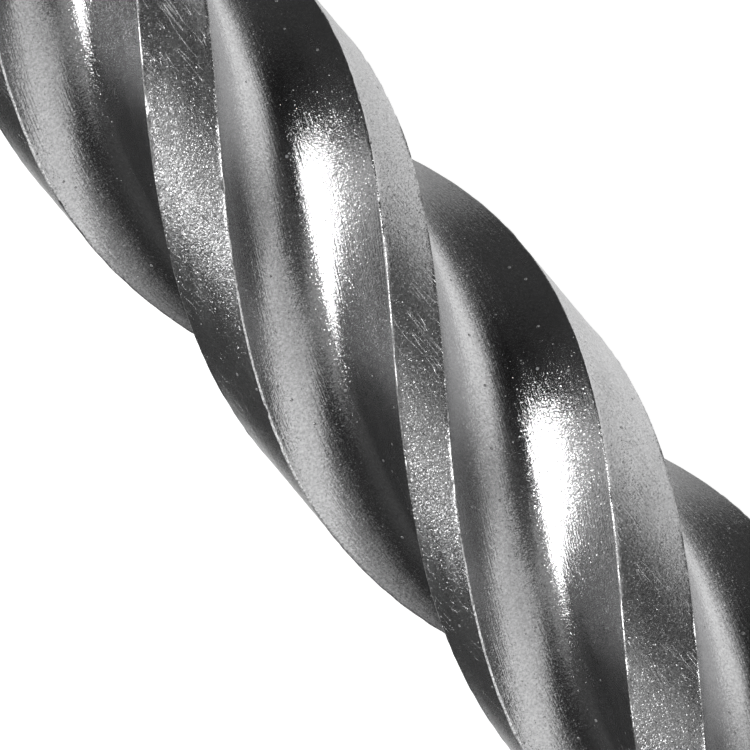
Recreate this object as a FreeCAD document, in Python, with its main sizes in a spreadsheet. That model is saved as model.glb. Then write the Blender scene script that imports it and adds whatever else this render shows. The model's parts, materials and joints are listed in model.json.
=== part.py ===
import FreeCAD, Part
import math
import os
import Sketcher

# Hammer drill bit with a slotted shank. The axis is X: the shank's end face is at the origin,
# the carbide point at the far end, and Z is up with the carbide plate lying flat.
# Lengths are in millimetres and angles in degrees.

SIZES = (
    ("overall_length", 160.0, "shank end face to carbide point"),
    ("shank_dia", 10.0, "ground shank"),
    ("shank_length", 44.0, "ground stretch, from the end face"),
    ("end_chamfer", 1.2, "at the end face"),
    ("neck_dia", 9.6, "between the shank and the spiral"),
    ("drive_slot_width", 5.0, "open slots that turn the bit"),
    ("drive_slot_depth", 2.3, "from the shank's surface to the floor"),
    ("drive_slot_length", 30.0, "flat floor, from the end face"),
    ("slot_cutter_radius", 8.0, "disc that leaves the slot's curved end"),
    ("lock_ball_radius", 3.5, "ball that runs in the closed groove"),
    ("lock_depth", 1.8, "from the shank's surface to the floor"),
    ("lock_start", 10.0, "end face to the closed groove's mouth"),
    ("lock_length", 20.0, "of the closed groove's mouth"),
    ("spiral_dia", 11.2, "over the lands"),
    ("spiral_lead", 50.3, "advance in one turn"),
    ("neck_length", 16.0, "shank to where the flutes reach full depth"),
    ("core_dia", 7.24, "left between the flute floors"),
    ("flute_angle", 64.5, "width of each flute, about the axis"),
    ("wide_land_angle", 30.2, "width of the two wide lands"),
    ("wall_radius", 3.36, "hollow wall that leads each flute"),
    ("shoulder_angle", 20.0, "slope from the neck up to the lands"),
    ("runout_radius", 30.0, "sweep of the flute floors up to the neck"),
    ("runout_sink", 0.5, "depth of that sweep's lowest point under the floors"),
    ("cheek_dia", 11.0, "steel that backs the carbide plate"),
    ("cheek_width", 6.4, "across the two cheeks and the plate between them"),
    ("cheek_length", 9.0, "behind the point"),
    ("cheek_sweep_radius", 6.0, "hollow behind the cheeks"),
    ("cheek_sink", 0.4, "depth of that hollow's lowest point under the floors"),
    ("point_angle", 130.0, "across the two cutting edges"),
    ("point_reach", 0.9, "carbide point ahead of the steel nose"),
    ("cut_dia", 12.3, "across the plate's outer corners"),
    ("plate_thickness", 3.0, "carbide plate"),
    ("plate_height", 8.0, "seat to point"),
    ("clearance_angle", 25.0, "fall of each flank behind its cutting edge"),
    ("side_relief", 6.0, "taper of the plate's narrow sides"),
    ("braze_gap", 0.1, "filler between the plate and its slot"),
    ("overcut", 0.6, "how far a cutting outline passes the surface"),
)

# Shared formulas, in terms of the sheet
SHANK_R = "sizes.shank_dia / 2"
NECK_R = "sizes.neck_dia / 2"
SPIRAL_R = "sizes.spiral_dia / 2"
CORE_R = "sizes.core_dia / 2"
CHEEK_R = "sizes.cheek_dia / 2"
NARROW_LAND = "(180 - 2 * sizes.flute_angle - sizes.wide_land_angle)"
POINT_SLOPE = "tan(90 - sizes.point_angle / 2)"
SEAT_X = "(sizes.overall_length - sizes.plate_height)"
SLOT_FLOOR_X = "(%s - sizes.braze_gap)" % SEAT_X
SLOT_HALF = "(sizes.plate_thickness / 2 + sizes.braze_gap)"
NOSE_X = "(sizes.overall_length - sizes.point_reach)"
FRONT_X = "(sizes.overall_length + sizes.overcut)"
BAND_R = "(%s + sizes.overcut)" % SPIRAL_R


def sweep_length(radius, rise):
    """Axial length over which an arc that starts parallel to the axis rises by the given height."""
    return "sqrt((%s)^2 - (%s - (%s))^2)" % (radius, radius, rise)


# Where the flutes reach full depth, and where their sweep meets the neck
FULL_DEPTH_X = "(sizes.shank_length + sizes.neck_length)"
RUNOUT_R = "(%s - sizes.runout_sink)" % CORE_R
RUNOUT_X = "(%s - %s)" % (FULL_DEPTH_X, sweep_length("sizes.runout_radius", "%s - %s" % (NECK_R, RUNOUT_R)))

# The lands start buried in the neck, below the shoulder's slope
SPIRAL_START_X = "(%s - 2 * sizes.overcut)" % RUNOUT_X

# The hollow behind the cheeks, from its lowest point
CHEEK_LOW_R = "(%s - sizes.cheek_sink)" % CORE_R
CHEEK_LOW_X = "(sizes.overall_length - sizes.cheek_length - %s)" % sweep_length(
    "sizes.cheek_sweep_radius", "%s - %s" % (CHEEK_R, CHEEK_LOW_R))


def make_sheet(document):
    """Writes the driving dimensions, one to a row, each with its alias."""
    sheet = document.addObject("Spreadsheet::Sheet", "sizes")
    for row, (alias, value, note) in enumerate(SIZES, start=1):
        sheet.set("A%d" % row, alias)
        sheet.set("B%d" % row, str(value))
        sheet.set("C%d" % row, note)
        sheet.setAlias("B%d" % row, alias)
    document.recompute()


def origin_item(body, role):
    """One of a body's own origin planes or axes."""
    return next(item for item in body.Origin.OriginFeatures if item.Role == role)


def amount(holder, formula):
    """Present value of a formula of the sheet."""
    return float(holder.evalExpression(formula))


def add_sketch(body, name, role, along="0", turned="0", about=(0, 0, 1)):
    """A sketch on an origin plane, moved along the plane's normal or X and turned by formulas."""
    sketch = body.newObject("Sketcher::SketchObject", name)
    sketch.AttachmentSupport = [(origin_item(body, role), "")]
    sketch.MapMode = "FlatFace"
    sketch.AttachmentOffset = FreeCAD.Placement(FreeCAD.Vector(), FreeCAD.Rotation(FreeCAD.Vector(*about), 1))
    way = "z" if role == "YZ_Plane" else "x"
    sketch.setExpression("AttachmentOffset.Base.%s" % way, along)
    sketch.setExpression("AttachmentOffset.Rotation.Angle", turned)
    return sketch


def bind(sketch, kind, references, formula):
    """Adds a dimension and ties it to a formula of the sheet."""
    index = sketch.addConstraint(Sketcher.Constraint(kind, *references, amount(sketch, formula)))
    sketch.setExpression("Constraints[%d]" % index, formula)


def join(sketch, kind, *references):
    """Adds a relation that has no size, such as Coincident or Tangent."""
    sketch.addConstraint(Sketcher.Constraint(kind, *references))


def place_point(sketch, edge, end, x, y):
    """Ties one end of an edge to a place in the sketch."""
    if x == "0":
        join(sketch, "PointOnObject", edge, end, -2)
    else:
        bind(sketch, "DistanceX", (-1, 1, edge, end), x)
    if y == "0":
        join(sketch, "PointOnObject", edge, end, -1)
    else:
        bind(sketch, "DistanceY", (-1, 1, edge, end), y)


def turn_of(centre, point):
    """Angle of a point seen from a centre."""
    return math.atan2(point.y - centre.y, point.x - centre.x)


def add_arc(sketch, first, last, radius, side):
    """An arc between two points, centred to the left (1) or right (-1) of the way from one to the other."""
    chord = last - first
    across = FreeCAD.Vector(-chord.y, chord.x, 0).normalize()
    depth = math.sqrt(max(radius ** 2 - (chord.Length / 2) ** 2, 0))
    centre = (first + last) / 2 + across * (side * depth)
    start, stop = (first, last) if side > 0 else (last, first)
    circle = Part.Circle(centre, FreeCAD.Vector(0, 0, 1), radius)
    arc = Part.ArcOfCircle(circle, turn_of(centre, start), turn_of(centre, stop))
    return sketch.addGeometry(arc, False)


def draw_outline(sketch, corners, arcs=()):
    """A closed outline through corners given by formulas. arcs holds (corner, radius formula, side)
    for each edge that is an arc from that corner to the next."""
    spots = [FreeCAD.Vector(amount(sketch, x), amount(sketch, y), 0) for x, y in corners]
    rounds = {corner: (radius, side) for corner, radius, side in arcs}
    edges = []
    for number, first in enumerate(spots):
        last = spots[(number + 1) % len(spots)]
        if number in rounds:
            radius, side = rounds[number]
            edge = add_arc(sketch, first, last, amount(sketch, radius), side)
            ends = (1, 2) if side > 0 else (2, 1)
        else:
            edge = sketch.addGeometry(Part.LineSegment(first, last), False)
            ends = (1, 2)
        edges.append((edge,) + ends)
    for number, (edge, first_end, last_end) in enumerate(edges):
        following, following_end, _ = edges[(number + 1) % len(edges)]
        join(sketch, "Coincident", edge, last_end, following, following_end)
        place_point(sketch, edge, first_end, *corners[number])
    for number, (radius, side) in rounds.items():
        bind(sketch, "Radius", (edges[number][0],), radius)


def add_feature(body, kind, name, sketch):
    """A feature of a sketch. Its faces stay as cut, because merging them can open the twisted ones."""
    feature = body.newObject("PartDesign::" + kind, name)
    feature.Profile = sketch
    feature.Refine = False
    return feature


def add_prism(body, kind, name, sketch, length, symmetric=False, backward=False):
    """A Pad or Pocket of a sketch."""
    feature = add_feature(body, kind, name, sketch)
    feature.Reversed = backward
    if symmetric:
        feature.SideType = "Symmetric"
    feature.setExpression("Length", length)
    return feature


def add_turned(body, kind, name, sketch, axis=None):
    """A Revolution or Groove of a sketch, a full turn about X or about a line of the sketch."""
    feature = add_feature(body, kind, name, sketch)
    feature.ReferenceAxis = (sketch, [axis]) if axis else (origin_item(body, "X_Axis"), [""])
    feature.Angle = 360
    return feature


def add_pair(body, name, feature):
    """Repeats a feature half a turn round the axis."""
    pattern = body.newObject("PartDesign::PolarPattern", name)
    pattern.Originals = [feature]
    pattern.Axis = (origin_item(body, "X_Axis"), [""])
    pattern.Angle = 360
    pattern.Occurrences = 2
    pattern.Refine = False
    body.Tip = pattern
    return pattern


def new_body(document, name):
    """A body whose label names its file."""
    body = document.addObject("PartDesign::Body", name)
    body.Label = name
    body.Placement = FreeCAD.Placement()
    return body


def add_cheeks(body):
    """The band of steel either side of the carbide plate, swept down to the core behind."""
    half = "sizes.cheek_width / 2"
    reach = "sqrt((%s)^2 - (%s)^2)" % (CHEEK_R, half)
    band = add_sketch(body, "cheek_section", "YZ_Plane", along="sizes.overall_length")
    corners = (("-" + reach, "-" + half), (reach, "-" + half), (reach, half), ("-" + reach, half))
    draw_outline(band, corners, arcs=((1, CHEEK_R, 1), (3, CHEEK_R, 1)))
    length = "sizes.overall_length - %s" % CHEEK_LOW_X
    add_prism(body, "Pad", "cheeks", band, length, backward=True)

    top = "(%s + sizes.overcut)" % CHEEK_R
    rise = sweep_length("sizes.cheek_sweep_radius", "%s - %s" % (top, CHEEK_LOW_R))
    behind = "%s - sizes.overcut" % CHEEK_LOW_X
    hollow = add_sketch(body, "cheek_hollow_outline", "XY_Plane")
    corners = ((CHEEK_LOW_X, CHEEK_LOW_R), ("%s + %s" % (CHEEK_LOW_X, rise), top), (behind, top),
               (behind, CHEEK_LOW_R))
    draw_outline(hollow, corners, arcs=((0, "sizes.cheek_sweep_radius", 1),))
    add_turned(body, "Groove", "cheek_hollow", hollow)


def add_edge_point(sketch, turn):
    """A construction point where a flute meets a land's surface, at an angle given by a formula."""
    x = "%s * cos(%s)" % (SPIRAL_R, turn)
    y = "%s * sin(%s)" % (SPIRAL_R, turn)
    place = FreeCAD.Vector(amount(sketch, x), amount(sketch, y), 0)
    point = sketch.addGeometry(Part.Point(place), True)
    bind(sketch, "DistanceX", (-1, 1, point, 1), x)
    bind(sketch, "DistanceY", (-1, 1, point, 1), y)
    return point, place


def polar(turn, reach):
    """The place at an angle and a distance from the axis."""
    return FreeCAD.Vector(math.cos(turn), math.sin(turn), 0) * reach


def draw_flute(sketch, start_turn, stop_turn):
    """One flute between two land edges. A hollow wall leaves the first and a straight back climbs to
    the last. Both pass the lands' surface, because the lands are turned to size afterwards."""
    start_point, start = add_edge_point(sketch, start_turn)
    stop_point, stop = add_edge_point(sketch, stop_turn)
    radius = amount(sketch, "sizes.wall_radius")
    band = amount(sketch, BAND_R)
    reach = amount(sketch, CORE_R) + radius

    def lean(outer):
        return math.acos((reach ** 2 + outer ** 2 - radius ** 2) / (2 * reach * outer))

    centre_turn = turn_of(FreeCAD.Vector(), start) + lean(start.Length)
    centre = polar(centre_turn, reach)
    away = stop - centre
    touch = centre + polar(turn_of(centre, stop) + math.acos(radius / away.Length), radius)
    brim = polar(centre_turn - lean(band), band)
    climb = (stop - touch).normalize()
    along = touch.dot(climb)
    crest = touch + climb * (math.sqrt(along ** 2 - touch.dot(touch) + band ** 2) - along)

    circle = Part.Circle(centre, FreeCAD.Vector(0, 0, 1), radius)
    wall = sketch.addGeometry(Part.ArcOfCircle(circle, turn_of(centre, touch), turn_of(centre, brim)), False)
    back = sketch.addGeometry(Part.LineSegment(touch, crest), False)
    join(sketch, "Tangent", wall, 1, back, 1)
    join(sketch, "PointOnObject", start_point, 1, wall)
    join(sketch, "PointOnObject", stop_point, 1, back)
    bind(sketch, "Distance", (-1, 1, wall, 3), "%s + sizes.wall_radius" % CORE_R)
    return wall, back


def draw_land(sketch, back, wall):
    """The arc about the axis that caps the land between one flute's back and the next one's wall."""
    first = turn_of(FreeCAD.Vector(), sketch.getPoint(back, 2))
    last = turn_of(FreeCAD.Vector(), sketch.getPoint(wall, 2))
    circle = Part.Circle(FreeCAD.Vector(), FreeCAD.Vector(0, 0, 1), amount(sketch, BAND_R))
    land = sketch.addGeometry(Part.ArcOfCircle(circle, first, last), False)
    join(sketch, "Coincident", land, 3, -1, 1)
    join(sketch, "Coincident", land, 1, back, 2)
    join(sketch, "Coincident", land, 2, wall, 2)
    return land


def draw_spiral_section(sketch):
    """Four lands, wide and narrow by turns, with four like flutes between them."""
    widths = ("sizes.wide_land_angle", NARROW_LAND)
    flutes = []
    for number in range(4):
        start = "%d + %s / 2" % (90 * number, widths[number % 2])
        stop = "%d - %s / 2" % (90 * number + 90, widths[(number + 1) % 2])
        flutes.append(draw_flute(sketch, start, stop))
    lands = [draw_land(sketch, flutes[number - 1][1], flutes[number][0]) for number in range(4)]
    bind(sketch, "Radius", (lands[0],), BAND_R)
    bind(sketch, "Radius", (flutes[0][0],), "sizes.wall_radius")
    for land, (wall, _) in zip(lands[1:], flutes[1:]):
        join(sketch, "Equal", lands[0], land)
        join(sketch, "Equal", flutes[0][0], wall)


def add_path(document):
    """The right-handed helix that the spiral follows, from the point back to the neck."""
    path = document.addObject("Part::Helix", "spiral_path")
    path.Placement = FreeCAD.Placement(FreeCAD.Vector(), FreeCAD.Rotation(FreeCAD.Vector(0, 1, 0), -90))
    path.SegmentLength = 0
    path.setExpression("Placement.Base.x", "sizes.overall_length")
    path.setExpression("Pitch", "sizes.spiral_lead")
    path.setExpression("Height", "sizes.overall_length - %s" % SPIRAL_START_X)
    path.setExpression("Radius", CORE_R)
    document.recompute()
    return path


def add_spiral(body, path):
    """The four-land section, wound along the helix.
    It is turned so that the wide lands cross the plate at half the plate's height."""
    phase = "360 * sizes.plate_height / 2 / sizes.spiral_lead"
    section = add_sketch(body, "spiral_section", "YZ_Plane", along="sizes.overall_length", turned=phase)
    draw_spiral_section(section)
    spiral = add_feature(body, "AdditivePipe", "spiral", section)
    spiral.Spine = (path, ["Edge1"])
    spiral.Mode = "Frenet"


def turn_spiral(body):
    """Turns the nose cone, the shoulder and the lands to size."""
    outside = "(%s + sizes.overcut)" % BAND_R
    nose = add_sketch(body, "nose_outline", "XY_Plane")
    rim = "%s - %s * %s" % (NOSE_X, outside, POINT_SLOPE)
    draw_outline(nose, ((NOSE_X, "0"), (FRONT_X, "0"), (FRONT_X, outside), (rim, outside)))
    add_turned(body, "Groove", "nose", nose)

    slope = "tan(sizes.shoulder_angle)"
    behind = "(%s - sizes.overcut)" % SPIRAL_START_X
    low = "%s - (%s - %s) * %s" % (NECK_R, RUNOUT_X, behind, slope)
    crest = "%s + (%s - %s) / %s" % (RUNOUT_X, outside, NECK_R, slope)
    shoulder = add_sketch(body, "shoulder_outline", "XY_Plane")
    draw_outline(shoulder, ((behind, low), (crest, outside), (behind, outside)))
    add_turned(body, "Groove", "shoulder", shoulder)

    lands = add_sketch(body, "lands_outline", "XY_Plane")
    draw_outline(lands, ((behind, SPIRAL_R), (FRONT_X, SPIRAL_R), (FRONT_X, outside), (behind, outside)))
    add_turned(body, "Groove", "lands", lands)


def add_shank(body):
    """The shank, the neck and the sweep that the flute floors climb, as one turned piece."""
    corners = (("0", "0"),
               ("0", "%s - sizes.end_chamfer" % SHANK_R),
               ("sizes.end_chamfer", SHANK_R),
               ("sizes.shank_length", SHANK_R),
               ("sizes.shank_length + (%s - %s)" % (SHANK_R, NECK_R), NECK_R),
               (RUNOUT_X, NECK_R),
               (FULL_DEPTH_X, RUNOUT_R),
               (FULL_DEPTH_X, "0"))
    outline = add_sketch(body, "shank_outline", "XY_Plane")
    draw_outline(outline, corners, arcs=((5, "sizes.runout_radius", 1),))
    add_turned(body, "Revolution", "shank", outline)


def cut_plate_slot(body):
    """The slot across the head that takes the carbide plate and its filler."""
    slot = add_sketch(body, "plate_slot_outline", "XZ_Plane")
    corners = ((SLOT_FLOOR_X, "-" + SLOT_HALF), (FRONT_X, "-" + SLOT_HALF), (FRONT_X, SLOT_HALF),
               (SLOT_FLOOR_X, SLOT_HALF))
    draw_outline(slot, corners)
    add_prism(body, "Pocket", "plate_slot", slot, "2 * %s" % BAND_R, symmetric=True)


def cut_drive_slots(body):
    """Two open slots, above and below, that run out along the cutter's arc."""
    floor = "(%s - sizes.drive_slot_depth)" % SHANK_R
    top = "(%s + sizes.overcut)" % SHANK_R
    end = "sizes.drive_slot_length + %s" % sweep_length("sizes.slot_cutter_radius", "%s - %s" % (top, floor))
    outlines = add_sketch(body, "drive_slot_outlines", "XZ_Plane")
    for sign, side in (("", 1), ("-", -1)):
        corners = (("-sizes.overcut", sign + floor), ("sizes.drive_slot_length", sign + floor),
                   (end, sign + top), ("-sizes.overcut", sign + top))
        draw_outline(outlines, corners, arcs=((1, "sizes.slot_cutter_radius", side),))
    add_prism(body, "Pocket", "drive_slots", outlines, "sizes.drive_slot_width", symmetric=True)


def cut_locking_grooves(body):
    """Two closed grooves, left and right, hollowed by a ball that travels along the shank."""
    ball = "sizes.lock_ball_radius"
    track = "(%s - sizes.lock_depth + %s)" % (SHANK_R, ball)
    deep = "(%s - sizes.lock_depth)" % SHANK_R
    inset = sweep_length(ball, "sizes.lock_depth")
    first = "(sizes.lock_start + %s)" % inset
    last = "(sizes.lock_start + sizes.lock_length - %s)" % inset
    outline = add_sketch(body, "locking_groove_outline", "XY_Plane")
    corners = (("%s - %s" % (first, ball), track), (first, deep), (last, deep), ("%s + %s" % (last, ball), track))
    draw_outline(outline, corners, arcs=((0, ball, 1), (2, ball, 1)))
    line = Part.LineSegment(outline.getPoint(3, 2), outline.getPoint(3, 1))
    travel = outline.addGeometry(line, True)
    join(outline, "Coincident", travel, 1, 3, 2)
    join(outline, "Coincident", travel, 2, 3, 1)
    groove = add_turned(body, "Groove", "locking_groove", outline, axis="Axis0")
    add_pair(body, "locking_grooves", groove)


def make_bit_body(document):
    """The steel: slotted shank, neck, four-land spiral and slotted head, in one piece."""
    body = new_body(document, "bit_body")
    add_cheeks(body)
    add_spiral(body, add_path(document))
    turn_spiral(body)
    add_shank(body)
    cut_plate_slot(body)
    cut_drive_slots(body)
    cut_locking_grooves(body)
    return body


def make_carbide_plate(document):
    """The two-edged plate. Each flank falls away behind its edge, and the two meet in a chisel edge."""
    body = new_body(document, "carbide_plate")
    half = "sizes.plate_thickness / 2"
    lead = "sqrt((sizes.cut_dia / 2)^2 - (%s)^2)" % half
    trail = "%s - sizes.plate_thickness * tan(sizes.side_relief)" % lead
    section = add_sketch(body, "plate_section", "YZ_Plane", along=SEAT_X)
    corners = (("-(%s)" % lead, "-" + half), (trail, "-" + half), (lead, half), ("-(%s)" % trail, half))
    draw_outline(section, corners)
    length = "sizes.plate_height + sizes.plate_thickness * tan(sizes.clearance_angle)"
    add_prism(body, "Pad", "plate", section, length)

    flank = add_sketch(body, "flank_outline", "XZ_Plane", along="sizes.overall_length",
                       turned="90 - sizes.point_angle / 2", about=(0, 1, 0))
    wide = "sizes.plate_thickness"
    fall = "%s * tan(sizes.clearance_angle)" % wide
    clear = "%s + sizes.plate_height" % fall
    draw_outline(flank, (("-" + fall, "-" + wide), (clear, "-" + wide), (clear, wide), (fall, wide)))
    cut = add_prism(body, "Pocket", "flank", flank, "2 * sizes.cut_dia", symmetric=True)
    add_pair(body, "flanks", cut)
    return body


def make_braze_seam(document):
    """The filler that fills the slot under the plate and on both its faces, flush with the steel."""
    body = new_body(document, "braze_seam")
    half = "sizes.plate_thickness / 2"
    tip = "sizes.overall_length"
    section = add_sketch(body, "seam_section", "XZ_Plane")
    corners = ((SLOT_FLOOR_X, "-" + SLOT_HALF), (tip, "-" + SLOT_HALF), (tip, "-" + half), (SEAT_X, "-" + half),
               (SEAT_X, half), (tip, half), (tip, SLOT_HALF), (SLOT_FLOOR_X, SLOT_HALF))
    draw_outline(section, corners)
    add_prism(body, "Pad", "seam", section, "2 * %s" % BAND_R, symmetric=True)

    band = "(%s + 2 * sizes.overcut)" % BAND_R
    behind = "(%s - sizes.overcut)" % SLOT_FLOOR_X
    edge = add_sketch(body, "seam_edge_outline", "XY_Plane")
    corners = ((NOSE_X, "0"), (FRONT_X, "0"), (FRONT_X, band), (behind, band), (behind, CHEEK_R),
               ("%s - %s * %s" % (NOSE_X, CHEEK_R, POINT_SLOPE), CHEEK_R))
    draw_outline(edge, corners)
    add_turned(body, "Groove", "seam_edge", edge)
    return body


def check(document, bodies):
    """Stops if anything failed or came out empty, or if a cut took nothing away."""
    for item in document.Objects:
        if "Invalid" in item.State or "Error" in item.State:
            raise RuntimeError("%s failed: %s" % (item.Label, item.State))
    for body in bodies:
        if body.Shape.isNull() or not body.Shape.isValid() or len(body.Shape.Solids) != 1:
            raise RuntimeError("%s is not one valid solid" % body.Label)
        for item in body.Group:
            if item.isDerivedFrom("PartDesign::Feature") and not item.Shape.Solids:
                raise RuntimeError("%s is empty" % item.Label)
            if item.TypeId in ("PartDesign::Pocket", "PartDesign::Groove", "PartDesign::PolarPattern"):
                if item.Shape.Volume >= item.BaseFeature.Shape.Volume:
                    raise RuntimeError("%s cut nothing" % item.Label)


def main():
    document = FreeCAD.newDocument("hammer_drill_bit")
    make_sheet(document)
    bodies = [make_bit_body(document), make_carbide_plate(document), make_braze_seam(document)]
    document.recompute()
    check(document, bodies)
    os.makedirs("parts", exist_ok=True)
    for body in bodies:
        body.Shape.exportStep("parts/%s.step" % body.Label)
        print(body.Label, round(body.Shape.Volume, 3), body.Shape.BoundBox)


main()
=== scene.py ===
import json
import math

import bpy
import numpy as np
from bpy.props import FloatProperty, FloatVectorProperty, PointerProperty
from mathutils import Matrix, Vector

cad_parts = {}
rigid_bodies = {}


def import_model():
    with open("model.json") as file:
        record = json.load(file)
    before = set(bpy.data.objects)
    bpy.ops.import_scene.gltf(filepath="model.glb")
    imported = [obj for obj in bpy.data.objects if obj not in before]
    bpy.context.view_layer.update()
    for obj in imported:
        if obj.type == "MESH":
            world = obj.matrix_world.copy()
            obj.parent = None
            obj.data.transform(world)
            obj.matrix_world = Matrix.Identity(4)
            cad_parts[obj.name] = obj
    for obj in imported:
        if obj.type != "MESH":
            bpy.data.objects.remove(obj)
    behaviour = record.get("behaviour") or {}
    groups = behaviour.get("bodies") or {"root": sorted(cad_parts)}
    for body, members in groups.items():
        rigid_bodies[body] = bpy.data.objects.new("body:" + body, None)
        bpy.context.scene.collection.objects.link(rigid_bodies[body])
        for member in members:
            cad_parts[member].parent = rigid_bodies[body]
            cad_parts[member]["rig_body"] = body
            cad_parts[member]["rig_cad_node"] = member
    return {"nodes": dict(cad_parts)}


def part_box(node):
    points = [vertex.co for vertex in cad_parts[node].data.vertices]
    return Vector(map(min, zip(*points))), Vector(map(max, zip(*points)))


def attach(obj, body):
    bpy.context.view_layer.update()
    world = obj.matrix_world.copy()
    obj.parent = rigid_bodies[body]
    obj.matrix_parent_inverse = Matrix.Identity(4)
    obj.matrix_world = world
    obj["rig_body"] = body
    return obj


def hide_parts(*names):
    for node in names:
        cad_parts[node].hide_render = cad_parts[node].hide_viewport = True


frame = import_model()

bl_info = {
    "name": "Hammer Drill Bit",
    "version": (1, 0, 0),
    "blender": (4, 5, 0),
    "location": "3D View > Sidebar > Drill Bit",
    "description": "Builds a hammer drill bit and the stage that it lies on",
    "category": "Add Mesh",
}

MM = 0.001
TAU = 2 * math.pi
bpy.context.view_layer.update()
BODY_LOW, BODY_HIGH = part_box("bit_body")
PLATE_LOW, PLATE_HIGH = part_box("carbide_plate")
TIP_X = PLATE_HIGH.x
# Edges that turn further than this stay sharp
SHARP = math.radians(32)


def length(name, description, default):
    """A size that a user would change, in metres."""
    return FloatProperty(name=name, description=description, default=default, min=0, unit="LENGTH", precision=6)


def angle(name, description, degrees):
    """A turn that a user would change."""
    return FloatProperty(name=name, description=description, default=math.radians(degrees), unit="ROTATION")


def colour(name, description, default):
    """A colour that a user would change."""
    return FloatVectorProperty(name=name, description=description, default=default, size=3, min=0, max=1,
                               subtype="COLOR")


class SpiralSizes(bpy.types.PropertyGroup):
    """The spiral, its lands and its flutes."""
    radius: length("Land Radius", "Axis to the lands", BODY_HIGH.z)
    lead: length("Lead", "Advance in one turn", 50.3 * MM)
    core: length("Core Radius", "Axis to the flute floors", 3.62 * MM)
    wall: length("Wall Radius", "Hollow wall that leads each flute", 3.36 * MM)
    root: length("Root Depth", "Extra depth at the foot of the hollow wall", 0.09 * MM)
    flute: angle("Flute Width", "Width of each flute about the axis", 64.5)
    wide_land: angle("Wide Land", "Width of the two wide lands about the axis", 30.2)
    burr: length("Burr Height", "Tallest lip along a land's edge", 0.03 * MM)
    wander: length("Edge Wander", "How far a land's edge strays from its helix", 0.01 * MM)
    near_pitch: length("Close Pitch", "Mesh pitch in the middle of the spiral", 0.12 * MM)
    far_pitch: length("Wide Pitch", "Mesh pitch elsewhere on the spiral", 0.5 * MM)


class ShankSizes(bpy.types.PropertyGroup):
    """The slotted shank and the neck."""
    radius: length("Shank Radius", "Ground shank", 5 * MM)
    length: length("Shank Length", "Ground stretch", 44 * MM)
    chamfer: length("End Chamfer", "At the end face", 1.2 * MM)
    neck_radius: length("Neck Radius", "Between the shank and the spiral", 4.8 * MM)
    neck_length: length("Neck Length", "Shank to where the flutes reach full depth", 16 * MM)
    shoulder: angle("Shoulder", "Slope from the neck up to the lands", 20)
    runout: length("Run-out Radius", "Sweep of the flute floors up to the neck", 30 * MM)
    runout_sink: length("Run-out Sink", "Depth of the sweep's lowest point under the floors", 0.5 * MM)
    slot_width: length("Slot Width", "Open slots that turn the bit", 5 * MM)
    slot_depth: length("Slot Depth", "From the shank's surface", 2.3 * MM)
    slot_length: length("Slot Length", "Flat floor, from the end face", 30 * MM)
    slot_cutter: length("Slot Cutter", "Disc that leaves the slot's curved end", 8 * MM)
    ball: length("Ball Radius", "Ball that runs in the closed groove", 3.5 * MM)
    ball_depth: length("Groove Depth", "From the shank's surface", 1.8 * MM)
    ball_start: length("Groove Start", "End face to the closed groove's mouth", 10 * MM)
    ball_length: length("Groove Length", "Of the closed groove's mouth", 20 * MM)
    edge_break: length("Edge Break", "Rounding of the shank's edges", 0.06 * MM)


class HeadSizes(bpy.types.PropertyGroup):
    """The slotted head that carries the carbide plate."""
    radius: length("Cheek Radius", "Steel that backs the plate", 5.5 * MM)
    width: length("Cheek Width", "Across both cheeks", 6.4 * MM)
    length: length("Cheek Length", "Behind the point", 9 * MM)
    sweep: length("Cheek Sweep", "Hollow behind the cheeks", 6 * MM)
    sink: length("Cheek Sink", "Depth of that hollow's lowest point under the floors", 0.4 * MM)
    point: angle("Point Angle", "Across the two cutting edges", 130)
    reach: length("Point Reach", "Carbide point ahead of the steel nose", 0.9 * MM)
    gap: length("Braze Gap", "Filler between the plate and its slot", 0.1 * MM)
    edge_break: length("Edge Break", "Rounding of the carbide's edges", 0.04 * MM)


class FinishLook(bpy.types.PropertyGroup):
    """Colours and grain of the finishes."""
    steel: colour("Blasted Steel", "Grit-blasted steel", (0.60, 0.60, 0.605))
    ground: colour("Ground Steel", "Ground shank", (0.62, 0.615, 0.60))
    carbide: colour("Carbide", "Sintered plate", (0.30, 0.31, 0.33))
    braze: colour("Braze", "Filler metal", (0.78, 0.62, 0.36))
    grain: length("Blast Grain", "Pit size of the blasted steel", 0.09 * MM)
    grain_depth: length("Grain Depth", "Height of the blasted grain", 0.007 * MM)
    facet: length("Facet Size", "Small facets that catch the light", 0.032 * MM)
    facet_tilt: FloatProperty(name="Facet Tilt", description="How far the facets lean", default=0.3, min=0, max=2)
    roughness: FloatProperty(name="Flute Roughness", description="Of the steel in the flutes", default=0.2,
                             min=0, max=1)
    land_roughness: FloatProperty(name="Land Roughness", description="Of the steel on the lands", default=0.27,
                                  min=0, max=1)


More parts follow.
